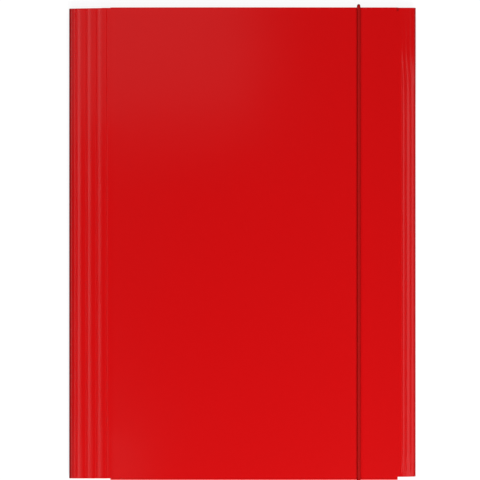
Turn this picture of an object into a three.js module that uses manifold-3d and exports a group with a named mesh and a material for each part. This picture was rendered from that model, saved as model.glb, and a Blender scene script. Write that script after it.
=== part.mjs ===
// Elastic folder for A4 papers: a creased card cover with three inner flaps, held shut by a round elastic cord.
// Units are millimetres. +X points to the fore edge, +Y to the head, +Z up. The folder lies closed on its back.
import * as THREE from 'three';
import { mergeVertices } from 'three/addons/utils/BufferGeometryUtils.js';
import Module from 'manifold-3d';

const wasm = await Module();
wasm.setup();

// Closed size of the folder
const coverWidth = 235;
const coverHeight = 320;

// Card, clearances between layers, and scored creases
const cardThickness = 0.45;
const layerGap = 0.3;
const creaseWidth = 1.3;
const creaseDepth = 0.2;

// Creased strip beside the spine, on both covers
const spineStripWidth = 28.1;
const spineCreaseCount = 4;
const spineCreaseFirst = 4.7;
const spineCreasePitch = 6.95;

// Creased lip along the front cover's fore edge: each facet leans further down
const lipWidth = 12.4;
const lipCreaseFirst = 3.6;
const lipCreasePitch = 2.8;
const lipRollWidth = 1.3;
const lipFacetDegrees = [4, 10, 18];
const lipRollDegrees = 50;

// Where the blank is cut short of the front panel's head and foot
const spineHeadStep = 0.3;
const spineHeadSlant = 0.45;
const spineFootStep = 1.0;
const lipHeadStep = 0.15;
const lipFootStep = 2.1;
const nickWidth = 1.5;
const nickDepth = 0.8;

// Back cover and its three flaps
const backForeInset = 8;
const backEndInset = 1.5;
const sideFlapDepth = 100;
const endFlapDepth = 70;
const flapSideInset = 3;
const flapTaper = 12;
const flapCornerRadius = 10;
const flapCreaseCount = 2;
const flapCreasePitch = 3;

// Elastic cord and its clamped metal ends
const cordDiameter = 2.2;
const cordForeInset = 38.8;
const cordHoleInset = 18;
const cordSides = 12;
const arcStepDegrees = 10;
const cordEndLength = 12;
const cordEndWidth = 2.4;
const cordEndThickness = 0.8;

// Heights of the layers, from the surface the folder lies on
const cordRadius = cordDiameter / 2;
const backBottom = cordDiameter + layerGap;
const backTop = backBottom + cardThickness;
const cordEndBottom = backTop + layerGap;
const endFlapBottom = cordEndBottom + cordEndThickness + layerGap;
const sideFlapBottom = endFlapBottom + cardThickness + layerGap;
const frontBottom = sideFlapBottom + cardThickness + layerGap + creaseDepth;
const frontTop = frontBottom + cardThickness;
const backMiddle = backBottom + cardThickness / 2;
const endFlapMiddle = endFlapBottom + cardThickness / 2;
const sideFlapMiddle = sideFlapBottom + cardThickness / 2;
const frontMiddle = frontBottom + cardThickness / 2;

// Places across the folder
const spineEdge = -coverWidth / 2;
const foreEdge = coverWidth / 2;
const head = coverHeight / 2;
const foot = -coverHeight / 2;
const spineFoldRadius = (frontTop - backBottom) / 2;
const spineFoldX = spineEdge + spineFoldRadius;
const spineFoldZ = (frontTop + backBottom) / 2;
const stripEnd = spineEdge + spineStripWidth;
const lipStart = foreEdge - lipWidth;
const sideFoldRadius = (sideFlapMiddle - backMiddle) / 2;
const sideFoldX = foreEdge - backForeInset - sideFoldRadius - cardThickness / 2;
const endFoldRadius = (endFlapMiddle - backMiddle) / 2;
const endFoldY = head - backEndInset - endFoldRadius - cardThickness / 2;
const cordX = foreEdge - cordForeInset;
const cordHoleY = endFoldY - cordHoleInset;
const cordHoleRadius = cordRadius + layerGap;

const cardMaterial = new THREE.MeshStandardMaterial({ color: 0xcb1215, roughness: 0.32, metalness: 0 });
const cordMaterial = new THREE.MeshStandardMaterial({ color: 0xb31216, roughness: 0.75, metalness: 0 });
const metalMaterial = new THREE.MeshStandardMaterial({ color: 0xc4c5c8, roughness: 0.35, metalness: 1 });

function toSolid(geometry) {
  const bare = geometry.clone();
  bare.deleteAttribute('normal');
  bare.deleteAttribute('uv');
  const merged = mergeVertices(bare, 1e-5);
  return new wasm.Manifold(new wasm.Mesh({
    numProp: 3,
    vertProperties: new Float32Array(merged.attributes.position.array),
    triVerts: new Uint32Array(merged.index.array),
  }));
}

function toGeometry(solid) {
  const mesh = solid.getMesh();
  const geometry = new THREE.BufferGeometry();
  geometry.setAttribute('position', new THREE.BufferAttribute(new Float32Array(mesh.vertProperties), 3));
  geometry.setIndex(new THREE.BufferAttribute(new Uint32Array(mesh.triVerts), 1));
  geometry.computeVertexNormals();
  return geometry;
}

function named(name, geometry, material) {
  const mesh = new THREE.Mesh(geometry, material);
  mesh.name = name;
  return mesh;
}

// A straight run of card that ends at `to`, pressed in at each crease. side is -1 for a groove seen from above
// and +1 for one seen from below. start and end are places along the run, level is its middle height.
function creasedRun(from, to, level, creases, side) {
  const direction = Math.sign(to - from);
  const points = [[from, level]];
  for (const place of creases) {
    points.push([place - direction * creaseWidth / 2, level]);
    points.push([place, level + side * creaseDepth]);
    points.push([place + direction * creaseWidth / 2, level]);
  }
  points.push([to, level]);
  return points;
}

function arc(centreAcross, centreUp, radius, startDegrees, endDegrees) {
  const steps = Math.max(2, Math.ceil(Math.abs(endDegrees - startDegrees) / arcStepDegrees));
  const points = [];
  for (let i = 0; i <= steps; i += 1) {
    const angle = THREE.MathUtils.degToRad(startDegrees + (endDegrees - startDegrees) * i / steps);
    points.push([centreAcross + radius * Math.cos(angle), centreUp + radius * Math.sin(angle)]);
  }
  return points;
}

// Closed outline of a sheet of card that follows a middle line, with mitred corners
function sheetOutline(middleLine) {
  const points = middleLine.map(([across, up]) => new THREE.Vector2(across, up))
    .filter((point, i, all) => i === 0 || point.distanceTo(all[i - 1]) > 1e-6);
  const left = [];
  const right = [];
  points.forEach((point, i) => {
    const before = points[Math.max(i - 1, 0)];
    const after = points[Math.min(i + 1, points.length - 1)];
    const into = (i === 0 ? after.clone().sub(point) : point.clone().sub(before)).normalize();
    const out = (i === points.length - 1 ? point.clone().sub(before) : after.clone().sub(point)).normalize();
    const along = into.clone().add(out).normalize();
    const reach = cardThickness / 2 / along.dot(into);
    const normal = new THREE.Vector2(-along.y, along.x).multiplyScalar(reach);
    left.push(point.clone().add(normal));
    right.push(point.clone().sub(normal));
  });
  return new THREE.Shape([...left, ...right.reverse()]);
}

// Extrudes an outline drawn in X and Z along Y, between two places
function alongY(shape, low, high) {
  const geometry = new THREE.ExtrudeGeometry(shape, { depth: high - low, bevelEnabled: false, curveSegments: 1 });
  geometry.rotateX(Math.PI / 2);
  geometry.translate(0, high, 0);
  return geometry;
}

// Extrudes an outline drawn in Y and Z along X, between two places
function alongX(shape, low, high) {
  const geometry = new THREE.ExtrudeGeometry(shape, { depth: high - low, bevelEnabled: false, curveSegments: 1 });
  geometry.applyMatrix4(new THREE.Matrix4().makeBasis(
    new THREE.Vector3(0, 1, 0), new THREE.Vector3(0, 0, 1), new THREE.Vector3(1, 0, 0)));
  geometry.translate(low, 0, 0);
  return geometry;
}

// A tall prism over a plan outline, which trims a sheet to that outline
function trimPrism(shape) {
  const prismHeight = frontTop + 2 * cordDiameter;
  const geometry = new THREE.ExtrudeGeometry(shape, { depth: 2 * prismHeight, bevelEnabled: false, curveSegments: 6 });
  geometry.translate(0, 0, -prismHeight);
  return toSolid(geometry);
}

function planShape(corners) {
  return new THREE.Shape(corners.map(([x, y]) => new THREE.Vector2(x, y)));
}

const spineCreases = Array.from({ length: spineCreaseCount },
  (_, i) => spineEdge + spineCreaseFirst + i * spineCreasePitch);

// Front cover: spine strip, panel and creased lip, in one sheet
function frontCover() {
  const facets = lipFacetDegrees.length;
  const lipCreases = Array.from({ length: facets },
    (_, i) => foreEdge - lipCreaseFirst - (facets - 1 - i) * lipCreasePitch);
  const line = creasedRun(spineFoldX, lipCreases[0] - creaseWidth, frontMiddle, spineCreases, -1);
  const endDegrees = [...lipFacetDegrees, lipRollDegrees];
  const rollStart = foreEdge - lipRollWidth;
  const lipEnd = foreEdge - cardThickness / 2 * Math.sin(THREE.MathUtils.degToRad(lipRollDegrees));
  const corners = [...lipCreases, rollStart, lipEnd];
  let level = frontMiddle;
  corners.forEach((x, i) => {
    const slope = i === 0 ? 0 : Math.tan(THREE.MathUtils.degToRad(endDegrees[i - 1]));
    if (i > 0) {
      level -= (x - corners[i - 1]) * slope;
    }
    if (i < facets) {
      const nextSlope = Math.tan(THREE.MathUtils.degToRad(endDegrees[i]));
      line.push([x - creaseWidth / 2, level + slope * creaseWidth / 2]);
      line.push([x, level - creaseDepth]);
      line.push([x + creaseWidth / 2, level - nextSlope * creaseWidth / 2]);
    } else {
      line.push([x, level]);
    }
  });
  const sheet = toSolid(alongY(sheetOutline(line), foot, head));
  const outside = coverWidth;
  const outline = planShape([
    [-outside, foot + spineFootStep],
    [stripEnd, foot + spineFootStep],
    [stripEnd, foot - 1],
    [lipStart, foot - 1],
    [lipStart, foot + lipFootStep],
    [outside, foot + lipFootStep],
    [outside, head - lipHeadStep],
    [lipStart + nickWidth, head - lipHeadStep],
    [lipStart + nickWidth, head - nickDepth],
    [lipStart, head - nickDepth],
    [lipStart, head + 1],
    [stripEnd, head + 1],
    [stripEnd, head - spineHeadStep],
    [spineFoldX, head - spineHeadStep - spineHeadSlant],
    [-outside, head - spineHeadStep - spineHeadSlant],
  ]);
  return toGeometry(sheet.intersect(trimPrism(outline)));
}

// Half-round fold of the spine, which joins the two covers' sheets
function spineFold() {
  const outer = arc(spineFoldX, spineFoldZ, spineFoldRadius, 90, 270);
  const inner = arc(spineFoldX, spineFoldZ, spineFoldRadius - cardThickness, 90, 270);
  const shape = planShape([...outer, ...inner.reverse()]);
  return alongY(shape, foot + spineFootStep, head - spineHeadStep - spineHeadSlant);
}

// Plan outline of a flap that grows from a fold: a trapezium with round outer corners. The fold runs along the
// first axis at `fold`, the flap reaches `reach` beyond it towards lower values, between low and high.
function flapOutline(fold, reach, low, high, asXY) {
  const tip = fold - reach;
  const beyond = fold + 2 * sideFoldRadius + cardThickness;
  const shape = new THREE.Shape();
  const to = (method, ...pairs) => shape[method](...pairs.flatMap(([along, across]) => asXY(along, across)));
  to('moveTo', [beyond, low]);
  to('lineTo', [beyond, high]);
  to('lineTo', [fold, high]);
  to('lineTo', [tip + flapCornerRadius, high - flapTaper]);
  to('quadraticCurveTo', [tip, high - flapTaper], [tip, high - flapTaper - flapCornerRadius]);
  to('lineTo', [tip, low + flapTaper + flapCornerRadius]);
  to('quadraticCurveTo', [tip, low + flapTaper], [tip + flapCornerRadius, low + flapTaper]);
  to('lineTo', [fold, low]);
  shape.closePath();
  return shape;
}

// The fold and flap at one edge, as a middle line that starts on the back cover's own level
function foldedLine(fold, radius, flapMiddle, reach) {
  const creases = Array.from({ length: flapCreaseCount }, (_, i) => fold - (i + 1) * flapCreasePitch);
  return [
    [fold - 2 * radius, backMiddle],
    ...arc(fold, backMiddle + radius, radius, -90, 90),
    ...creasedRun(fold, fold - reach, flapMiddle, creases, -1).slice(1),
  ];
}

// Back cover: spine strip, panel and the three flaps, folded from one sheet
function backCover() {
  const plateLine = creasedRun(spineFoldX, sideFoldX, backMiddle, spineCreases, 1);
  const plateOutline = planShape([
    [spineFoldX - 1, foot + spineFootStep],
    [stripEnd, foot + spineFootStep],
    [stripEnd, -endFoldY],
    [foreEdge, -endFoldY],
    [foreEdge, endFoldY],
    [stripEnd, endFoldY],
    [stripEnd, head - spineHeadStep],
    [spineFoldX, head - spineHeadStep - spineHeadSlant],
    [spineFoldX - 1, head - spineHeadStep - spineHeadSlant],
  ]);
  const plate = toSolid(alongY(sheetOutline(plateLine), foot, head)).intersect(trimPrism(plateOutline));

  const sideSheet = toSolid(alongY(
    sheetOutline(foldedLine(sideFoldX, sideFoldRadius, sideFlapMiddle, sideFlapDepth)), foot, head));
  const sideOutline = flapOutline(sideFoldX, sideFlapDepth, -endFoldY + flapSideInset, endFoldY - flapSideInset,
    (along, across) => [along, across]);
  const sideFlap = sideSheet.intersect(trimPrism(sideOutline));

  const endSheet = toSolid(alongX(
    sheetOutline(foldedLine(endFoldY, endFoldRadius, endFlapMiddle, endFlapDepth)), spineEdge, foreEdge));
  const endOutline = flapOutline(endFoldY, endFlapDepth, stripEnd + flapSideInset, sideFoldX - flapSideInset,
    (along, across) => [across, along]);
  const headFlap = endSheet.intersect(trimPrism(endOutline));
  const footFlap = headFlap.mirror([0, 1, 0]);

  let sheet = plate.add(sideFlap).add(headFlap).add(footFlap);
  for (const end of [-1, 1]) {
    const hole = new THREE.CylinderGeometry(cordHoleRadius, cordHoleRadius, 2 * cardThickness, 24);
    hole.rotateX(Math.PI / 2);
    hole.translate(cordX, end * cordHoleY, backMiddle);
    sheet = sheet.subtract(toSolid(hole));
  }
  return toGeometry(sheet);
}

// A cord's route as a chain of points, stepped point by point, with the tangent that halves each corner
class CordRoute extends THREE.Curve {
  constructor(points) {
    super();
    this.points = points;
  }

  getUtoTmapping(u) {
    return u;
  }

  getPoint(t, target = new THREE.Vector3()) {
    return target.copy(this.points[Math.round(t * (this.points.length - 1))]);
  }

  getTangent(t, target = new THREE.Vector3()) {
    const i = Math.round(t * (this.points.length - 1));
    const last = this.points.length - 1;
    const into = this.points[Math.max(i, 1)].clone().sub(this.points[Math.max(i, 1) - 1]).normalize();
    const out = this.points[Math.min(i, last - 1) + 1].clone().sub(this.points[Math.min(i, last - 1)]).normalize();
    return target.copy(into.add(out).normalize());
  }
}

// The cord leaves its hole, runs out along the back, round the back cover's fold and the front cover's edge,
// and along the front. The two ends are alike.
function cordHalf() {
  const wrap = cordRadius + layerGap;
  const foldWrap = endFoldRadius + cardThickness / 2 + wrap;
  const foldCentre = new THREE.Vector2(endFoldY, backMiddle + endFoldRadius);
  const edgeCentre = new THREE.Vector2(head, frontBottom);
  const between = foldCentre.clone().sub(edgeCentre);
  const squint = Math.asin((foldWrap - wrap) / between.length());
  const tangent = THREE.MathUtils.radToDeg(between.angle() + squint) - 270;
  return [
    [cordHoleY, backTop],
    ...arc(cordHoleY + wrap, backBottom - layerGap - cordRadius + wrap, wrap, 180, 270),
    ...arc(foldCentre.x, foldCentre.y, foldWrap, -90, tangent),
    ...arc(edgeCentre.x, edgeCentre.y, wrap, tangent, 0),
    ...arc(edgeCentre.x, frontTop, wrap, 0, 90),
  ];
}

function elasticCord() {
  const half = cordHalf();
  const place = (y, z) => new THREE.Vector3(cordX, y, z);
  const points = [
    ...half.map(([y, z]) => place(y, z)),
    ...half.map(([y, z]) => place(-y, z)).reverse(),
  ];
  const section = new THREE.Shape(Array.from({ length: cordSides }, (_, i) => {
    const angle = i * 2 * Math.PI / cordSides;
    return new THREE.Vector2(cordRadius * Math.cos(angle), cordRadius * Math.sin(angle));
  }));
  return new THREE.ExtrudeGeometry(section, {
    steps: points.length - 1,
    extrudePath: new CordRoute(points),
    curveSegments: 1,
  });
}

// Flat metal bar clamped on the cord's end, which can't pass back through the hole
function cordEnd() {
  const straight = (cordEndLength - cordEndWidth) / 2;
  const radius = cordEndWidth / 2;
  const shape = new THREE.Shape();
  shape.absarc(straight, 0, radius, -Math.PI / 2, Math.PI / 2, false);
  shape.absarc(-straight, 0, radius, Math.PI / 2, 3 * Math.PI / 2, false);
  shape.closePath();
  return new THREE.ExtrudeGeometry(shape, { depth: cordEndThickness, bevelEnabled: false, curveSegments: 8 });
}

const group = new THREE.Group();
group.add(named('back_cover', backCover(), cardMaterial));
group.add(named('front_cover', frontCover(), cardMaterial));
group.add(named('spine_fold', spineFold(), cardMaterial));
group.add(named('elastic_cord', elasticCord(), cordMaterial));
for (const [name, end] of [['cord_end_head', 1], ['cord_end_foot', -1]]) {
  const bar = named(name, cordEnd(), metalMaterial);
  bar.position.set(cordX, end * cordHoleY, cordEndBottom);
  group.add(bar);
}

export default group;
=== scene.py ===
"""Elastic folder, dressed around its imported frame. Metres, +X to the fore edge, +Y to the head, +Z up."""

import math

import bmesh
import bpy
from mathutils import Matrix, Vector


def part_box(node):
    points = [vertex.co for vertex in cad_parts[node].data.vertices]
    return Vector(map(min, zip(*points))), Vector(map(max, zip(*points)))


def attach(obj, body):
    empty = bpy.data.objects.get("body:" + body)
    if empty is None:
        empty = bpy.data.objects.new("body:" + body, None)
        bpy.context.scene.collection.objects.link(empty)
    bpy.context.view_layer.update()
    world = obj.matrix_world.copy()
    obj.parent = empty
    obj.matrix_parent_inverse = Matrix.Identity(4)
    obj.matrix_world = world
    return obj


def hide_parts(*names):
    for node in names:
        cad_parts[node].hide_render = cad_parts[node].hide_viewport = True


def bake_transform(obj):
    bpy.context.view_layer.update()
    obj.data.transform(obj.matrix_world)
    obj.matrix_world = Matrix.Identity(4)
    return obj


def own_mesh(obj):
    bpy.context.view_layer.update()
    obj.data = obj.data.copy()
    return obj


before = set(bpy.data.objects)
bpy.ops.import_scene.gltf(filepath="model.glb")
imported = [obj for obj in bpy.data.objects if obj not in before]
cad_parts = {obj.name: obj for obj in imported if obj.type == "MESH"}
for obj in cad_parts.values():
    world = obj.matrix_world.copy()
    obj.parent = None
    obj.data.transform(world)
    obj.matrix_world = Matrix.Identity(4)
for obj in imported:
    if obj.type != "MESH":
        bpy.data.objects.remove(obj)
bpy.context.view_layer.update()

MM = 0.001
NEAR = 1e-6

# Places taken from the frame
front_low, front_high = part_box("front_cover")
fold_low, fold_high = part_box("spine_fold")
cord_low, cord_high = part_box("elastic_cord")
end_low, end_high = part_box("cord_end_head")
HEAD = front_high.y
FOOT = front_low.y
FORE_EDGE = front_high.x
SPINE_EDGE = fold_low.x
FOLD_X = fold_high.x
FOLD_Z = (fold_high.z + fold_low.z) / 2
CORD_X = (cord_low.x + cord_high.x) / 2
CORD_RADIUS = (cord_high.x - cord_low.x) / 2
CORD_HOLE_Y = (end_low.y + end_high.y) / 2

# The card and its scored creases
CARD = 0.45 * MM
LAYER_GAP = 0.3 * MM
COVER_ROWS = 64
FOLD_ROWS = 32
FOLD_SEGMENTS = 64
# How far in from the fold the painted fold shade reaches
FOLD_SHADE_REACH = 3 * MM
CREASE_WIDTH = 1.5 * MM
CREASE_DEPTH = 0.28 * MM
CREASE_BEAD = 0.03 * MM
VALLEY_SHARE = 0.6
BEAD_START = 0.4
CREASE_SAMPLES = 10
SPINE_STRIP = 28.1 * MM
SPINE_CREASES = 4
SPINE_CREASE_FIRST = 4.7 * MM
SPINE_CREASE_PITCH = 6.95 * MM
SPINE_PILLOW = 0.2 * MM
PILLOW_SKEW = 1.4
PILLOW_SAMPLES = 7
LIP = 12.4 * MM
LIP_CREASE_FIRST = 3.6 * MM
LIP_CREASE_PITCH = 2.8 * MM
LIP_ROLL = 1.3 * MM
LIP_DEGREES = (6, 10, 15, 50)

# Where the blank is cut short of the panel's head and foot
SPINE_FOOT_STEP = 1.0 * MM
SPINE_HEAD_STEP = 0.3 * MM
SPINE_HEAD_SLANT = 0.45 * MM
LIP_FOOT_STEP = 2.1 * MM
LIP_HEAD_STEP = 0.15 * MM

# The painted shade at the head, where the lip begins: a darker patch of card in place of the shadow in a
# small nick
NICK_WIDTH = 1.5 * MM
NICK_DEPTH = 2.4 * MM

# The lip near its ends: from how far off its creases fade and its facets lie flatter, and by what share
HEAD_FADE_START = 50 * MM
HEAD_FADE_END = 30 * MM
HEAD_FADE = 0.9
FOOT_FADE_START = 20 * MM
FLATTER_START = 80 * MM
FLATTER_END = 20 * MM
FLATTER = 0.8

# The front panel's soft rise, and the dip under the cord
PANEL_CROWN = 0.6 * MM
CROWN_POWER = 1.2
CORD_DIP = 0.1 * MM
CORD_DIP_WIDTH = 5 * MM
PANEL_SAMPLES = 40

# The back cover and its flaps
BACK_FORE_INSET = 8 * MM
BACK_END_INSET = 1.5 * MM
BACK_SAMPLES = 16
SIDE_FLAP = 100 * MM
END_FLAP = 70 * MM
FLAP_INSET = 3 * MM
FLAP_TAPER = 12 * MM
FLAP_CORNER = 10 * MM
FLAP_CORNER_CUTS = 7
FLAP_CREASES = 2
FLAP_CREASE_PITCH = 3 * MM
FLAP_SAMPLES = 10
FLAP_FOLD_STEPS = 14

# How far a flap's faces may lie below and above its level, to be told from the rest
FLAP_BELOW = 0.3 * MM
FLAP_ABOVE = 0.1 * MM

# The elastic and its metal ends
CORD_GAP = 0.06 * MM
CORD_TAIL = 0.25 * MM
CORD_STEP = 0.45 * MM
ARC_STEP_DEGREES = 6
STRANDS_ROUND = 8
STRANDS_ALONG = 210
CORD_END_THICKNESS = 0.8 * MM
CORD_END_BEVEL = 0.12 * MM
PINCH_INNER = 0.9 * MM
PINCH_OUTER = 1.6 * MM
PINCH_WIDTH_SHARE = 0.78
PINCH_SINK = 0.14 * MM

# The sky's parts: their edges in degrees from straight up, their brightness or the share they keep of it
PATCH_LEAN = -1.5
PATCH_EDGE = (21.5, 15.5)
HORIZON_EDGE = (75, 55)
RING_EDGE = (42, 34)
PATCH_SHARE = 0.03
HORIZON_LIGHT = 0.1
SKY_LIGHT = 0.45
RING_GAIN = 1.9
HEAD_SHARE = 0.15
SIDE_SHARE = 0.2

# The floor's own light, which only the camera sees
FLOOR_WHITE = 0.84

# Heights and places worked out from those
BACK_LEVEL = fold_low.z + CARD / 2
FRONT_LEVEL = fold_high.z - CARD / 2
END_FLAP_LEVEL = BACK_LEVEL + CARD + 2 * LAYER_GAP + CORD_END_THICKNESS
SIDE_FLAP_LEVEL = END_FLAP_LEVEL + CARD + LAYER_GAP
STRIP_END = SPINE_EDGE + SPINE_STRIP
LIP_START = FORE_EDGE - LIP
SIDE_FOLD_RADIUS = (SIDE_FLAP_LEVEL - BACK_LEVEL) / 2
SIDE_FOLD_X = FORE_EDGE - BACK_FORE_INSET - SIDE_FOLD_RADIUS - CARD / 2
END_FOLD_RADIUS = (END_FLAP_LEVEL - BACK_LEVEL) / 2
END_FOLD_Y = HEAD - BACK_END_INSET - END_FOLD_RADIUS - CARD / 2
SPINE_CREASE_X = [SPINE_EDGE + SPINE_CREASE_FIRST + i * SPINE_CREASE_PITCH for i in range(SPINE_CREASES)]
LIP_CREASE_X = [FORE_EDGE - LIP_CREASE_FIRST - i * LIP_CREASE_PITCH for i in (2, 1, 0)]


# Modelling helpers

def choose(piece):
    """Makes a piece the active one and the only one selected."""
    bpy.ops.object.select_all(action="DESELECT")
    bpy.context.view_layer.objects.active = piece
    piece.select_set(True)


def edit(piece):
    choose(piece)
    bpy.ops.object.mode_set(mode="EDIT")


def leave():
    bpy.ops.object.mode_set(mode="OBJECT")


def pick(kind, test):
    """Selects the vertices, edges or faces whose every corner passes the test."""
    bpy.ops.mesh.select_mode(type=kind)
    bpy.ops.mesh.select_all(action="DESELECT")
    mesh = bpy.context.edit_object.data
    shape = bmesh.from_edit_mesh(mesh)
    parts = {"VERT": shape.verts, "EDGE": shape.edges, "FACE": shape.faces}[kind]
    for part in parts:
        corners = [part] if kind == "VERT" else part.verts
        if all(test(corner.co) for corner in corners):
            part.select = True
    shape.select_flush_mode()
    bmesh.update_edit_mesh(mesh)


def pick_edges_along(axis):
    """Selects the edges that run along one axis."""
    bpy.ops.mesh.select_mode(type="EDGE")
    bpy.ops.mesh.select_all(action="DESELECT")
    mesh = bpy.context.edit_object.data
    shape = bmesh.from_edit_mesh(mesh)
    for part in shape.edges:
        one, other = (corner.co for corner in part.verts)
        run = other - one
        if abs(run[axis]) > 0.999 * run.length:
            part.select = True
    shape.select_flush_mode()
    bmesh.update_edit_mesh(mesh)


def run_out(profile, axis=0):
    """Extrudes the picked edges along a profile of (place, height) points. The place runs along the axis."""
    for (place, height), (next_place, next_height) in zip(profile, profile[1:]):
        step = [0, 0, next_height - height]
        step[axis] = next_place - place
        bpy.ops.mesh.extrude_region_move(TRANSFORM_OT_translate={"value": step})


def cut_across(axis, place):
    """Cuts the whole edit mesh at one place along an axis."""
    point = [0, 0, 0]
    normal = [0, 0, 0]
    point[axis] = place
    normal[axis] = 1
    bpy.ops.mesh.select_all(action="SELECT")
    bpy.ops.mesh.bisect(plane_co=point, plane_no=normal)


def delete_faces(test):
    pick("FACE", test)
    bpy.ops.mesh.delete(type="FACE")


def apply_modifier(piece, kind, **settings):
    bpy.context.view_layer.objects.active = piece
    modifier = piece.modifiers.new(kind.lower(), kind)
    for name, value in settings.items():
        setattr(modifier, name, value)
    bpy.ops.object.modifier_apply(modifier=modifier.name)


def smooth(piece, degrees):
    choose(piece)
    bpy.ops.object.shade_smooth_by_angle(angle=math.radians(degrees))


def give_thickness(piece, materials):
    """Turns a middle sheet that faces outwards into card: outer face, inner face and cut edge."""
    for material in materials:
        piece.data.materials.append(material)
    apply_modifier(piece, "SOLIDIFY", thickness=CARD, offset=0, use_even_offset=True,
                   material_offset=1, material_offset_rim=2)


def waver(piece, name, grain, height, weight):
    """Lifts and lowers a sheet by a soft cloud pattern. weight gives each place's share."""
    group = piece.vertex_groups.new(name=name)
    for vertex in piece.data.vertices:
        group.add([vertex.index], weight(vertex.co), "REPLACE")
    clouds = bpy.data.textures.new(name, "CLOUDS")
    clouds.noise_scale = grain
    clouds.noise_depth = 1
    apply_modifier(piece, "DISPLACE", texture=clouds, strength=height, mid_level=0.5, direction="Z",
                   texture_coords="LOCAL", vertex_group=name)


def ramp(value, low, high):
    """0 at low, 1 at high, with soft ends."""
    share = min(max((value - low) / (high - low), 0), 1)
    return share * share * (3 - 2 * share)


# Profiles of the card

def crease_height(distance):
    """A scored crease at a distance across it: a pressed valley between two soft beads."""
    share = abs(distance) / (CREASE_WIDTH / 2)
    if share >= 1:
        return 0
    valley = max(0, 1 - (share / VALLEY_SHARE) ** 2) ** 2
    bead = math.sin(math.pi * min(max((share - BEAD_START) / (1 - BEAD_START), 0), 1)) ** 2
    return CREASE_BEAD * bead - CREASE_DEPTH * valley


def crease_places(creases):
    half = CREASE_WIDTH / 2
    return [x + half * (2 * i / CREASE_SAMPLES - 1) for x in creases for i in range(CREASE_SAMPLES + 1)]


def between(low, high, count):
    return [low + (high - low) * (i + 0.5) / count for i in range(count)]


def pillow(x, bounds, rise):
    """The soft rise of each strip between two neighbouring creases, highest towards the fore edge."""
    for low, high in zip(bounds, bounds[1:]):
        if low < x < high:
            share = (x - low) / (high - low)
            bulge = math.sin(math.pi * share ** PILLOW_SKEW)
            return rise * ((high - low) / SPINE_CREASE_PITCH) ** 2 * bulge
    return 0


def spine_profile(level, side):
    """The creased strip from the spine fold to its end. side is -1 where the creases are pressed down."""
    bounds = [FOLD_X, *SPINE_CREASE_X, STRIP_END]
    places = {FOLD_X, STRIP_END, *crease_places(SPINE_CREASE_X)}
    for low, high in zip(bounds, bounds[1:]):
        places.update(between(low, high, PILLOW_SAMPLES))
    profile = []
    for x in sorted(places):
        creases = sum(crease_height(x - crease) for crease in SPINE_CREASE_X)
        profile.append((x, level - side * (creases + pillow(x, bounds[1:], SPINE_PILLOW))))
    return profile


def panel_profile():
    """The front panel, with its low crown and the dip under the cord."""
    profile = []
    cord_places = [CORD_X + CORD_DIP_WIDTH * i / 4 for i in range(-4, 5)]
    for x in sorted([*between(STRIP_END, LIP_START, PANEL_SAMPLES), *cord_places]):
        share = (x - STRIP_END) / (LIP_START - STRIP_END)
        crown = PANEL_CROWN * math.sin(math.pi * share) ** CROWN_POWER
        dip = CORD_DIP * math.exp(-((x - CORD_X) / CORD_DIP_WIDTH * 2) ** 2)
        profile.append((x, FRONT_LEVEL + crown - dip))
    return profile


def lip_drop(x):
    """How far the lip has fallen at x, facet by facet."""
    corners = [*LIP_CREASE_X, FORE_EDGE - LIP_ROLL, FORE_EDGE]
    drop = 0
    for low, high, degrees in zip(corners, corners[1:], LIP_DEGREES):
        drop += max(0, min(x, high) - low) * math.tan(math.radians(degrees))
    return drop


def lip_profile():
    """The creased lip along the fore edge, which leans and then rolls down."""
    end = FORE_EDGE - CARD / 2 * math.sin(math.radians(LIP_DEGREES[-1]))
    bounds = [LIP_START, *LIP_CREASE_X, FORE_EDGE - LIP_ROLL]
    places = {LIP_START, FORE_EDGE - LIP_ROLL, end, *between(FORE_EDGE - LIP_ROLL, end, 3)}
    places.update(crease_places(LIP_CREASE_X))
    for low, high in zip(bounds, bounds[1:]):
        places.update(between(low, high, 3))
    profile = []
    for x in sorted(places):
        creases = sum(crease_height(x - crease) for crease in LIP_CREASE_X)
        profile.append((x, FRONT_LEVEL + creases - lip_drop(x)))
    return profile


# Pieces

def creased_sheet(name, profile, rows):
    """A sheet whose section follows a profile across X, from foot to head, cut into rows along Y."""
    (x, z), (next_x, next_z) = profile[:2]
    bpy.ops.object.select_all(action="DESELECT")
    bpy.ops.mesh.primitive_plane_add(size=1, location=((x + next_x) / 2, (HEAD + FOOT) / 2, z))
    piece = bpy.context.object
    piece.name = name
    piece.scale = (next_x - x, HEAD - FOOT, 1)
    bpy.ops.object.transform_apply(location=True, rotation=False, scale=True)
    edit(piece)
    pick("VERT", lambda co: co.x > (x + next_x) / 2)
    bpy.ops.transform.translate(value=(0, 0, next_z - z))
    pick("EDGE", lambda co: co.x > (x + next_x) / 2)
    run_out(profile[1:])
    pick_edges_along(1)
    bpy.ops.mesh.subdivide(number_cuts=rows - 1)
    leave()
    return piece


def trim_strip(creased_end, low, high):
    """Cuts the ends of a creased strip short. creased_end tells the strip from the rest by its place."""
    cut_across(1, low)
    cut_across(1, high)
    delete_faces(lambda co: creased_end(co) and co.y < low + NEAR)
    delete_faces(lambda co: creased_end(co) and co.y > high - NEAR)


def in_spine_strip(co):
    return co.x < STRIP_END + NEAR


def in_lip(co):
    return co.x > LIP_START - NEAR


def in_nick(co):
    return abs(co.x - LIP_START) < NICK_WIDTH / 2 and co.y > HEAD - NICK_DEPTH


def paint_nick_shade(piece, nick_shade):
    """Painted shade at the head, where the lip begins: a darker patch of card in place of the shadow in a
    small nick.
    """
    piece.data.materials.append(nick_shade)
    for face in piece.data.polygons:
        if face.material_index == 0 and in_nick(face.center):
            face.material_index = len(piece.data.materials) - 1


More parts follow.
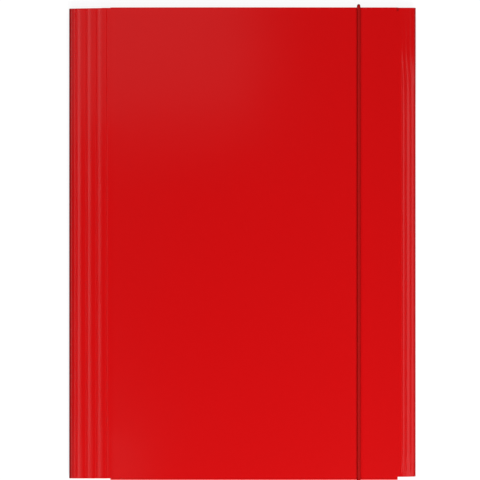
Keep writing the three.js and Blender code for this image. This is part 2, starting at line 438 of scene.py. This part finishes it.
def settle_lip():
    """Lets the lip's creases run out towards its ends, and its facets lie flatter near the head."""
    mesh = bpy.context.edit_object.data
    shape = bmesh.from_edit_mesh(mesh)
    for vertex in shape.verts:
        if vertex.co.x > LIP_CREASE_X[0] - CREASE_WIDTH:
            near_head = ramp(vertex.co.y, HEAD - HEAD_FADE_START, HEAD - HEAD_FADE_END)
            near_foot = 1 - ramp(vertex.co.y, FOOT, FOOT + FOOT_FADE_START)
            flatter = FLATTER * ramp(vertex.co.y, HEAD - FLATTER_START, HEAD - FLATTER_END)
            crease = sum(crease_height(vertex.co.x - place) for place in LIP_CREASE_X)
            roll = max(0, vertex.co.x - FORE_EDGE + LIP_ROLL) * math.tan(math.radians(LIP_DEGREES[-1]))
            vertex.co.z += flatter * (lip_drop(vertex.co.x) - roll)
            vertex.co.z -= max(HEAD_FADE * near_head, near_foot) * crease
    bmesh.update_edit_mesh(mesh)


def slant_spine_head():
    """Cuts the spine strip's head end on a slight slant, shorter at the fold."""
    pick("FACE", in_spine_strip)
    end = Vector((STRIP_END, HEAD - SPINE_HEAD_STEP, 0))
    fold = Vector((FOLD_X, HEAD - SPINE_HEAD_STEP - SPINE_HEAD_SLANT, 0))
    along = (end - fold).normalized()
    bpy.ops.mesh.bisect(plane_co=end, plane_no=(-along.y, along.x, 0), clear_outer=True)


def panel_share(co):
    """How much of the panel's wave a place takes: none at the spine fold and none from the cord on."""
    from_fold = ramp(co.x, FOLD_X, STRIP_END + 30 * MM)
    near_cord = ramp(co.x, CORD_X - 30 * MM, CORD_X - 3 * MM)
    return from_fold * (1 - near_cord)


def strip_share(co):
    """How much of the creased strips' wave a place takes. The lip takes half."""
    from_fold = ramp(co.x, FOLD_X, FOLD_X + 3 * MM)
    past_strip = ramp(co.x, STRIP_END, STRIP_END + 20 * MM)
    into_lip = ramp(co.x, LIP_START, LIP_START + 5 * MM)
    return from_fold * (1 - past_strip) + 0.5 * into_lip


def make_front_cover(materials, nick_shade):
    profile = [*spine_profile(FRONT_LEVEL, -1), *panel_profile(), *lip_profile()]
    piece = creased_sheet("front_cover_card", profile, COVER_ROWS)
    edit(piece)
    cut_across(0, LIP_START - NICK_WIDTH / 2)
    cut_across(0, LIP_START + NICK_WIDTH / 2)
    cut_across(1, HEAD - NICK_DEPTH)
    trim_strip(in_spine_strip, FOOT + SPINE_FOOT_STEP, HEAD - SPINE_HEAD_STEP)
    trim_strip(in_lip, FOOT + LIP_FOOT_STEP, HEAD - LIP_HEAD_STEP)
    settle_lip()
    slant_spine_head()
    leave()
    waver(piece, "panel_wave", grain=90 * MM, height=0.5 * MM, weight=panel_share)
    waver(piece, "strip_wave", grain=22 * MM, height=0.12 * MM, weight=strip_share)
    give_thickness(piece, materials)
    paint_nick_shade(piece, nick_shade)
    smooth(piece, degrees=40)
    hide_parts("front_cover")
    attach(piece, "front")


def make_spine_fold(materials):
    """The half-round fold between the two covers."""
    radius = (FRONT_LEVEL - BACK_LEVEL) / 2
    low = FOOT + SPINE_FOOT_STEP
    high = HEAD - SPINE_HEAD_STEP - SPINE_HEAD_SLANT
    bpy.ops.object.select_all(action="DESELECT")
    bpy.ops.mesh.primitive_circle_add(vertices=FOLD_SEGMENTS, radius=radius,
                                      location=(FOLD_X, low, FOLD_Z), rotation=(math.pi / 2, 0, 0))
    piece = bpy.context.object
    piece.name = "spine_fold_card"
    bpy.ops.object.transform_apply(location=True, rotation=True, scale=True)
    edit(piece)
    pick("VERT", lambda co: co.x > FOLD_X + NEAR)
    bpy.ops.mesh.delete(type="VERT")
    bpy.ops.mesh.select_all(action="SELECT")
    bpy.ops.mesh.extrude_region_move(TRANSFORM_OT_translate={"value": (0, high - low, 0)})
    pick_edges_along(1)
    bpy.ops.mesh.subdivide(number_cuts=FOLD_ROWS - 1)
    bpy.ops.mesh.select_all(action="SELECT")
    bpy.ops.mesh.normals_make_consistent(inside=False)
    leave()
    face = piece.data.polygons[0]
    if face.normal.dot(face.center - Vector((FOLD_X, 0, FOLD_Z))) < 0:
        piece.data.flip_normals()
    give_thickness(piece, materials)
    smooth(piece, degrees=40)
    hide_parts("spine_fold")
    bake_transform(piece)


def flap_profile(length, level):
    """A flap from its fold to its tip, as distances from the fold, with scored creases near the fold."""
    creases = [FLAP_CREASE_PITCH * (i + 1) for i in range(FLAP_CREASES)]
    past_creases = FLAP_CREASES * FLAP_CREASE_PITCH + 1 * MM
    places = {0, length, *crease_places(creases), *between(past_creases, length, FLAP_SAMPLES)}
    profile = []
    for place in sorted(places):
        profile.append((place, level + sum(crease_height(place - crease) for crease in creases)))
    return profile


def fold_flap(axis, side, fold, radius, level, low, high, length):
    """Folds a flap up and over from the plate's edge and trims it to a taper with round corners.

    axis is the direction the flap runs in, side the way its fold faces, and low and high are its
    ends on the fold."""
    across = 1 - axis
    centre = [0, 0, BACK_LEVEL + radius]
    centre[axis] = side * fold
    hinge = (0, 1, 0) if axis == 0 else (-side, 0, 0)
    pick("EDGE", lambda co: abs(co[axis] - side * fold) < NEAR and low - NEAR < co[across] < high + NEAR
         and co.z < BACK_LEVEL + radius)
    bpy.ops.mesh.spin(steps=FLAP_FOLD_STEPS, angle=math.pi, center=centre, axis=hinge)
    run_out([(side * (fold - place), height) for place, height in flap_profile(length, level)], axis)
    tip = fold - length
    corners = [((fold, high), (tip + FLAP_CORNER, high - FLAP_TAPER))]
    for i in range(FLAP_CORNER_CUTS):
        angle = math.radians(90 + 90 * (i + 0.5) / FLAP_CORNER_CUTS)
        x = tip + FLAP_CORNER + FLAP_CORNER * math.cos(angle)
        y = high - FLAP_TAPER - FLAP_CORNER + FLAP_CORNER * math.sin(angle)
        corners.append(((x, y), (x - math.sin(angle), y + math.cos(angle))))

    def on_flap(co):
        return (level - FLAP_BELOW < co.z < level + FLAP_ABOVE
                and tip - NEAR < side * co[axis] < fold + NEAR
                and low - NEAR < co[across] < high + NEAR)

    for mirrored in (1, -1):
        for (x, y), (next_x, next_y) in corners:
            point = [0, 0, 0]
            point[axis] = side * x
            point[across] = y if mirrored == 1 else low + high - y
            normal = [0, 0, 0]
            normal[axis] = side * (next_y - y)
            normal[across] = mirrored * (x - next_x)
            pick("FACE", on_flap)
            bpy.ops.mesh.bisect(plane_co=point, plane_no=normal, clear_outer=True)


def cover_share(co):
    """How much of the back cover's wave a place takes: none at its strip and its folds."""
    from_strip = ramp(co.x, STRIP_END, STRIP_END + 30 * MM)
    near_side_fold = ramp(co.x, SIDE_FOLD_X - 12 * MM, SIDE_FOLD_X)
    near_end_fold = ramp(abs(co.y), 130 * MM, END_FOLD_Y)
    return from_strip * (1 - near_side_fold) * (1 - near_end_fold)


def make_back_cover(materials):
    flat_places = [*between(STRIP_END, SIDE_FOLD_X, BACK_SAMPLES),
                   STRIP_END + FLAP_INSET, SIDE_FOLD_X - FLAP_INSET, SIDE_FOLD_X]
    plate = spine_profile(BACK_LEVEL, 1) + [(x, BACK_LEVEL) for x in flat_places]
    piece = creased_sheet("back_cover_card", sorted(plate), COVER_ROWS)
    edit(piece)
    for place in (-END_FOLD_Y, END_FOLD_Y, FLAP_INSET - END_FOLD_Y, END_FOLD_Y - FLAP_INSET):
        cut_across(1, place)
    trim_strip(in_spine_strip, FOOT + SPINE_FOOT_STEP, HEAD - SPINE_HEAD_STEP)
    delete_faces(lambda co: co.x > STRIP_END - NEAR and co.y > END_FOLD_Y - NEAR)
    delete_faces(lambda co: co.x > STRIP_END - NEAR and co.y < NEAR - END_FOLD_Y)
    slant_spine_head()
    fold_flap(0, 1, SIDE_FOLD_X, SIDE_FOLD_RADIUS, SIDE_FLAP_LEVEL, FLAP_INSET - END_FOLD_Y,
              END_FOLD_Y - FLAP_INSET, SIDE_FLAP)
    for side in (1, -1):
        fold_flap(1, side, END_FOLD_Y, END_FOLD_RADIUS, END_FLAP_LEVEL, STRIP_END + FLAP_INSET,
                  SIDE_FOLD_X - FLAP_INSET, END_FLAP)
    bpy.ops.mesh.select_all(action="SELECT")
    bpy.ops.mesh.flip_normals()
    leave()
    waver(piece, "cover_wave", grain=80 * MM, height=0.16 * MM, weight=cover_share)
    give_thickness(piece, materials)
    for side in (1, -1):
        punch_hole(piece, side * CORD_HOLE_Y)
    smooth(piece, degrees=40)
    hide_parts("back_cover")
    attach(piece, "back")


def punch_hole(piece, y):
    """The hole that an elastic end goes through."""
    bpy.ops.object.select_all(action="DESELECT")
    bpy.ops.mesh.primitive_cylinder_add(vertices=48, radius=CORD_RADIUS + LAYER_GAP, depth=4 * CARD,
                                        location=(CORD_X, y, BACK_LEVEL))
    punch = bpy.context.object
    apply_modifier(piece, "BOOLEAN", object=punch, operation="DIFFERENCE", solver="EXACT")
    bpy.data.objects.remove(punch)


def arc_points(y, z, radius, start, end):
    """Points on an arc round (y, z) from one angle to another, in degrees."""
    steps = max(2, math.ceil(abs(end - start) / ARC_STEP_DEGREES))
    points = []
    for i in range(steps + 1):
        angle = math.radians(start + (end - start) * i / steps)
        points.append((y + radius * math.cos(angle), z + radius * math.sin(angle)))
    return points


def elastic_half():
    """Half of the elastic's route in Y and Z, from its metal end round the head to the front."""
    wrap = CORD_RADIUS + CORD_GAP
    hole_wrap = CORD_RADIUS + LAYER_GAP
    fold_wrap = END_FOLD_RADIUS + CARD / 2 + wrap
    back_bottom = BACK_LEVEL - CARD / 2
    fold_z = BACK_LEVEL + END_FOLD_RADIUS
    edge_z = FRONT_LEVEL - CARD / 2
    top_z = cord_high.z - CORD_RADIUS
    run = math.hypot(END_FOLD_Y - HEAD, fold_z - edge_z)
    slope = math.atan2(fold_z - edge_z, END_FOLD_Y - HEAD) + math.asin((fold_wrap - wrap) / run)
    tangent = math.degrees(slope) % 360 - 270
    return [
        (CORD_HOLE_Y, BACK_LEVEL + CARD / 2 + CORD_TAIL),
        *arc_points(CORD_HOLE_Y + hole_wrap, back_bottom, hole_wrap, 180, 270),
        *arc_points(END_FOLD_Y, fold_z, fold_wrap, -90, tangent),
        *arc_points(HEAD, edge_z, wrap, tangent, 0),
        *arc_points(HEAD, top_z - wrap, wrap, 0, 90),
    ]


def even_steps(points, step):
    """Walks along a chain of points in even steps, so that the weave keeps one size."""
    lengths = [0]
    for one, other in zip(points, points[1:]):
        lengths.append(lengths[-1] + (other - one).length)
    count = math.ceil(lengths[-1] / step)
    walked = []
    segment = 0
    for i in range(count + 1):
        distance = lengths[-1] * i / count
        while segment < len(points) - 2 and lengths[segment + 1] < distance:
            segment += 1
        span = max(lengths[segment + 1] - lengths[segment], 1e-9)
        walked.append(points[segment].lerp(points[segment + 1], (distance - lengths[segment]) / span))
    return walked


def make_elastic(material):
    """The round elastic, drawn as a thick line along its route."""
    half = elastic_half()
    whole = half + [(-y, z) for y, z in reversed(half)]
    walked = even_steps([Vector((CORD_X, y, z)) for y, z in whole], CORD_STEP)
    line = bpy.data.curves.new("elastic_line", "CURVE")
    line.dimensions = "3D"
    line.bevel_depth = CORD_RADIUS
    line.bevel_resolution = 6
    line.use_fill_caps = True
    spline = line.splines.new("POLY")
    spline.points.add(len(walked) - 1)
    for point, place in zip(spline.points, walked):
        point.co = (*place, 1)
    piece = bpy.data.objects.new("elastic", line)
    bpy.context.collection.objects.link(piece)
    choose(piece)
    bpy.ops.object.convert(target="MESH")
    piece = bpy.context.object
    edit(piece)
    bpy.ops.mesh.select_all(action="SELECT")
    bpy.ops.mesh.remove_doubles(threshold=NEAR)
    bpy.ops.mesh.normals_make_consistent(inside=False)
    leave()
    piece.data.materials.clear()
    piece.data.materials.append(material)
    smooth(piece, degrees=60)
    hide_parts("elastic_cord")
    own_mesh(piece)
    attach(piece, "back")


def make_cord_end(name, node, material):
    """A flat metal bar with round ends, pinched in the middle where it grips the elastic."""
    low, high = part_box(node)
    middle = (low + high) / 2
    size = high - low
    bpy.ops.object.select_all(action="DESELECT")
    bpy.ops.mesh.primitive_cube_add(size=1, location=middle, scale=size)
    piece = bpy.context.object
    piece.name = name
    bpy.ops.object.transform_apply(location=True, rotation=False, scale=True)
    edit(piece)
    pick_edges_along(2)
    bpy.ops.mesh.bevel(offset=size.y / 2 - 0.02 * MM, segments=10, affect="EDGES")
    for place in (-PINCH_OUTER, -PINCH_INNER, PINCH_INNER, PINCH_OUTER):
        cut_across(0, middle.x + place)
    pick("VERT", lambda co: abs(co.x - middle.x) < PINCH_INNER + NEAR)
    bpy.ops.transform.resize(value=(1, PINCH_WIDTH_SHARE, 1), center_override=middle)
    pick("FACE", lambda co: abs(co.x - middle.x) < PINCH_INNER + NEAR and co.z > high.z - NEAR)
    bpy.ops.transform.translate(value=(0, 0, -PINCH_SINK))
    leave()
    apply_modifier(piece, "BEVEL", width=CORD_END_BEVEL, segments=3, limit_method="ANGLE",
                   angle_limit=math.radians(50))
    piece.data.materials.append(material)
    smooth(piece, degrees=35)
    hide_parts(node)
    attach(piece, "back")


# Materials

def add_node(tree, kind, inputs, **settings):
    """Adds a node and sets or links its inputs."""
    node = tree.nodes.new(kind)
    for name, value in settings.items():
        setattr(node, name, value)
    for key, value in inputs.items():
        if isinstance(value, bpy.types.NodeSocket):
            tree.links.new(value, node.inputs[key])
        else:
            node.inputs[key].default_value = value
    return node


def calculate(tree, operation, *values):
    """The result of one sum on numbers or sockets."""
    return add_node(tree, "ShaderNodeMath", dict(enumerate(values)), operation=operation).outputs[0]


def map_range(tree, value, start, end, low, high, kind="LINEAR"):
    """Turns start into low and end into high, and what lies between them into a share of both."""
    node = add_node(tree, "ShaderNodeMapRange", {
        "Value": value, "From Min": start, "From Max": end, "To Min": low, "To Max": high},
        interpolation_type=kind)
    return node.outputs[0]


def new_material(name):
    material = bpy.data.materials.new(name)
    material.use_nodes = True
    tree = material.node_tree
    surface = tree.nodes["Principled BSDF"]
    return material, tree, surface


def mix_colour(tree, share, one, other):
    mix = add_node(tree, "ShaderNodeMix", {0: share}, data_type="RGBA")
    for socket, colour in ((mix.inputs[6], one), (mix.inputs[7], other)):
        if isinstance(colour, bpy.types.NodeSocket):
            tree.links.new(colour, socket)
        else:
            socket.default_value = (*colour, 1)
    return mix.outputs[2]


def card_grain_group():
    """Shared by the card's faces and edge: fine fibres, and the cloudy mottle of the pulp."""
    group = bpy.data.node_groups.new("card_grain", "ShaderNodeTree")
    group.interface.new_socket("Place", in_out="INPUT", socket_type="NodeSocketVector")
    group.interface.new_socket("Fibres", in_out="OUTPUT", socket_type="NodeSocketFloat")
    group.interface.new_socket("Mottle", in_out="OUTPUT", socket_type="NodeSocketFloat")
    start = group.nodes.new("NodeGroupInput")
    end = group.nodes.new("NodeGroupOutput")
    drawn = add_node(group, "ShaderNodeMapping", {"Vector": start.outputs["Place"], "Scale": (1, 0.4, 1)})
    fibres = add_node(group, "ShaderNodeTexNoise",
                      {"Vector": drawn.outputs[0], "Scale": 1400, "Detail": 4, "Roughness": 0.6})
    mottle = add_node(group, "ShaderNodeTexNoise",
                      {"Vector": start.outputs["Place"], "Scale": 70, "Detail": 3})
    group.links.new(fibres.outputs[0], end.inputs["Fibres"])
    group.links.new(mottle.outputs[0], end.inputs["Mottle"])


def card_grain(tree):
    place = add_node(tree, "ShaderNodeTexCoord", {})
    grain = tree.nodes.new("ShaderNodeGroup")
    grain.node_tree = bpy.data.node_groups["card_grain"]
    tree.links.new(place.outputs["Object"], grain.inputs["Place"])
    return grain


def laminated_red(name, shade):
    """Red card under a glossy film, darker towards the spine fold's rim by painted shade.

    shade scales the red everywhere else, so a value below 1 paints a shaded copy."""
    material, tree, surface = new_material(name)
    grain = card_grain(tree)
    flat = mix_colour(tree, grain.outputs["Mottle"],
                      (0.630 * shade, 0.0034, 0.0042), (0.616 * shade, 0.0031, 0.0039))
    place = add_node(tree, "ShaderNodeTexCoord", {})
    parts = add_node(tree, "ShaderNodeSeparateXYZ", {0: place.outputs["Object"]})
    # Painted shade: the red turns deep red from here out to the spine edge, where the rounded fold turns
    # away from the light
    painted_fold_shade = map_range(tree, parts.outputs[0], FOLD_X + FOLD_SHADE_REACH, SPINE_EDGE, 0, 1)
    colour = mix_colour(tree, painted_fold_shade, flat, (0.36, 0.0018, 0.0024))
    sheen = map_range(tree, grain.outputs["Mottle"], 0, 1, 0.14, 0.16)
    bump = add_node(tree, "ShaderNodeBump",
                    {"Height": grain.outputs["Fibres"], "Distance": 0.01 * MM, "Strength": 0.2})
    tree.links.new(colour, surface.inputs["Base Color"])
    tree.links.new(sheen, surface.inputs["Roughness"])
    tree.links.new(bump.outputs[0], surface.inputs["Normal"])
    return material


def white_card():
    """The uncoated white inner face."""
    material, tree, surface = new_material("white_card")
    grain = card_grain(tree)
    mottled = mix_colour(tree, grain.outputs["Mottle"], (0.82, 0.81, 0.78), (0.74, 0.73, 0.70))
    colour = mix_colour(tree, grain.outputs["Fibres"], mottled, (0.86, 0.85, 0.83))
    bump = add_node(tree, "ShaderNodeBump",
                    {"Height": grain.outputs["Fibres"], "Distance": 0.05 * MM, "Strength": 0.5})
    tree.links.new(colour, surface.inputs["Base Color"])
    tree.links.new(bump.outputs[0], surface.inputs["Normal"])
    surface.inputs["Roughness"].default_value = 0.85
    return material


def cut_edge():
    """The cut edge: pale pulp stained by the red print beside it."""
    material, tree, surface = new_material("cut_edge")
    grain = card_grain(tree)
    colour = mix_colour(tree, grain.outputs["Fibres"], (0.50, 0.012, 0.012), (0.66, 0.16, 0.14))
    tree.links.new(colour, surface.inputs["Base Color"])
    surface.inputs["Roughness"].default_value = 0.7
    return material


def braided_elastic():
    """Red yarn braided round a rubber core: two sets of strands cross on a slant."""
    material, tree, surface = new_material("braided_elastic")
    place = add_node(tree, "ShaderNodeTexCoord", {})
    parts = add_node(tree, "ShaderNodeSeparateXYZ", {0: place.outputs["UV"]})
    around = calculate(tree, "MULTIPLY", parts.outputs[1], STRANDS_ROUND * 2 * math.pi)
    along = calculate(tree, "MULTIPLY", parts.outputs[0], STRANDS_ALONG * 2 * math.pi)
    strands = []
    for turn in ("ADD", "SUBTRACT"):
        phase = calculate(tree, turn, along, around)
        strands.append(calculate(tree, "SINE", phase))
    weave = calculate(tree, "MAXIMUM", *strands)
    height = map_range(tree, weave, -1, 1, 0, 1)
    fuzz = add_node(tree, "ShaderNodeTexNoise",
                    {"Vector": place.outputs["Object"], "Scale": 3000, "Detail": 2})
    # Painted shade: the yarn is darker where the strands dip between their crossings
    groove_shaded_yarn = mix_colour(tree, height, (0.26, 0.001, 0.001), (0.47, 0.003, 0.002))
    colour = mix_colour(tree, fuzz.outputs[0], groove_shaded_yarn, (0.43, 0.002, 0.001))
    bump = add_node(tree, "ShaderNodeBump", {"Height": height, "Distance": 0.12 * MM, "Strength": 0.6})
    tree.links.new(colour, surface.inputs["Base Color"])
    tree.links.new(bump.outputs[0], surface.inputs["Normal"])
    surface.inputs["Roughness"].default_value = 0.6
    surface.inputs["Specular IOR Level"].default_value = 0.15
    return material


def brushed_steel():
    """Plated steel, brushed along the bar."""
    material, tree, surface = new_material("brushed_steel")
    place = add_node(tree, "ShaderNodeTexCoord", {})
    drawn = add_node(tree, "ShaderNodeMapping", {"Vector": place.outputs["Object"], "Scale": (0.06, 1, 1)})
    lines = add_node(tree, "ShaderNodeTexNoise", {"Vector": drawn.outputs[0], "Scale": 9000, "Detail": 2})
    colour = mix_colour(tree, lines.outputs[0], (0.56, 0.57, 0.58), (0.68, 0.68, 0.69))
    dull = map_range(tree, lines.outputs[0], 0, 1, 0.25, 0.45)
    tree.links.new(colour, surface.inputs["Base Color"])
    tree.links.new(dull, surface.inputs["Roughness"])
    surface.inputs["Metallic"].default_value = 1
    return material


# Stage

def make_floor():
    """A white floor that takes shadows and adds its own light only where the camera sees it."""
    bpy.ops.object.select_all(action="DESELECT")
    bpy.ops.mesh.primitive_plane_add(size=8, location=(0, 0, -0.02 * MM))
    floor = bpy.context.object
    floor.name = "floor"
    material, tree, surface = new_material("white_floor")
    place = add_node(tree, "ShaderNodeTexCoord", {})
    grain = add_node(tree, "ShaderNodeTexNoise", {"Vector": place.outputs["Object"], "Scale": 3})
    colour = mix_colour(tree, grain.outputs[0], (0.22, 0.22, 0.22), (0.23, 0.23, 0.23))
    path = add_node(tree, "ShaderNodeLightPath", {})
    tree.links.new(colour, surface.inputs["Base Color"])
    surface.inputs["Roughness"].default_value = 1
    surface.inputs["Specular IOR Level"].default_value = 0
    surface.inputs["Emission Color"].default_value = (1, 1, 1, 1)
    lift = calculate(tree, "MULTIPLY", path.outputs["Is Camera Ray"], FLOOR_WHITE)
    tree.links.new(lift, surface.inputs["Emission Strength"])
    floor.data.materials.append(material)


def cosines(degrees):
    return [math.cos(math.radians(angle)) for angle in degrees]


def light_world():
    """A grey sky with a dim patch overhead, which the flat card mirrors.

    It is brightest round the patch on the right, less so towards the head, and it darkens to the
    sides and to the horizon."""
    world = bpy.context.scene.world or bpy.data.worlds.new("room")
    bpy.context.scene.world = world
    world.use_nodes = True
    tree = world.node_tree
    background = tree.nodes["Background"]
    place = add_node(tree, "ShaderNodeTexCoord", {})
    parts = add_node(tree, "ShaderNodeSeparateXYZ", {0: place.outputs["Generated"]})
    rightward, headward, upward = parts.outputs
    squeezed = add_node(tree, "ShaderNodeVectorMath", {0: place.outputs["Generated"], 1: (1, 0.6, 1)},
                        operation="MULTIPLY")
    aimed = add_node(tree, "ShaderNodeVectorMath", {0: squeezed.outputs[0]}, operation="NORMALIZE")
    lean = math.radians(PATCH_LEAN)
    toward_patch = add_node(tree, "ShaderNodeVectorMath", {
        0: aimed.outputs[0], 1: (math.sin(lean), 0, math.cos(lean))}, operation="DOT_PRODUCT")
    patch = map_range(tree, toward_patch.outputs["Value"], *cosines(PATCH_EDGE), 1, PATCH_SHARE,
                      "SMOOTHSTEP")
    sky = map_range(tree, upward, *cosines(HORIZON_EDGE), HORIZON_LIGHT, SKY_LIGHT, "SMOOTHSTEP")
    ring = map_range(tree, upward, *cosines(RING_EDGE), 1, RING_GAIN, "SMOOTHSTEP")
    on_right = map_range(tree, rightward, 0, 0.1, 0, 1)
    off_head = map_range(tree, headward, 0.14, 0.2, 1, HEAD_SHARE)
    ring_share = calculate(tree, "MULTIPLY", on_right, off_head)
    one_sided = add_node(tree, "ShaderNodeMix", {0: ring_share, 2: 1, 3: ring})
    both = calculate(tree, "MULTIPLY", one_sided.outputs[0], sky)
    sideways = calculate(tree, "ABSOLUTE", rightward)
    sides = map_range(tree, sideways, 0.58, 0.72, 1, SIDE_SHARE, "SMOOTHSTEP")
    dimmed = calculate(tree, "MULTIPLY", sides, both)
    level = calculate(tree, "MULTIPLY", patch, dimmed)
    tree.links.new(level, background.inputs["Strength"])
    background.inputs["Color"].default_value = (1, 1, 1, 1)


def soft_light(name, centre, target, width, height, radiance):
    """A rectangular lamp of an even radiance that faces a target."""
    lamp = bpy.data.lights.new(name, "AREA")
    lamp.shape = "RECTANGLE"
    lamp.size = width
    lamp.size_y = height
    lamp.energy = 4 * width * height * radiance
    holder = bpy.data.objects.new(name, lamp)
    holder.location = centre
    holder.rotation_euler = (Vector(target) - Vector(centre)).to_track_quat("-Z", "Y").to_euler()
    bpy.context.collection.objects.link(holder)


def place_camera():
    view = bpy.data.cameras.new("camera")
    view.lens = 155.05
    view.sensor_width = 36
    holder = bpy.data.objects.new("camera", view)
    holder.location = (-1.65 * MM, 2.5 * MM, 1406.5 * MM)
    bpy.context.collection.objects.link(holder)
    bpy.context.scene.camera = holder


card_grain_group()
card_faces = [laminated_red("laminated_red", 1), white_card(), cut_edge()]
# The red at 0.6 is a shaded copy that paints the shadow in the nick at the head
make_front_cover(card_faces, laminated_red("nick_shade_red", 0.6))
make_spine_fold(card_faces)
make_back_cover(card_faces)
make_elastic(braided_elastic())
steel = brushed_steel()
make_cord_end("elastic_end_head", "cord_end_head", steel)
make_cord_end("elastic_end_foot", "cord_end_foot", steel)

make_floor()
light_world()

# Each lamp's name, centre, target, width, height and radiance
soft_light("lamp_right", (0.28, -0.7, 0.75), (0, 0, 0), 0.6, 0.6, 4.6)
soft_light("lamp_foot", (-0.1, -1.1, 0.9), (0, 0, 0), 1.2, 0.5, 1.9)
soft_light("strip_light", (-0.51, 0, 1.42), (-0.51, 0, 0), 0.27, 1.3, 1.0)
soft_light("lamp_head", (-0.1, 1.1, 0.9), (0, 0, 0), 1.2, 0.5, 2.2)
soft_light("panel_low_left", (-0.46, -0.56, 1.42), (-0.46, -0.56, 0), 0.6, 0.6, 0.2)
soft_light("panel_overhead", (-0.42, 0.52, 1.42), (-0.42, 0.52, 0), 0.9, 0.7, 0.24)
place_camera()
bpy.context.scene.view_settings.view_transform = "Standard"
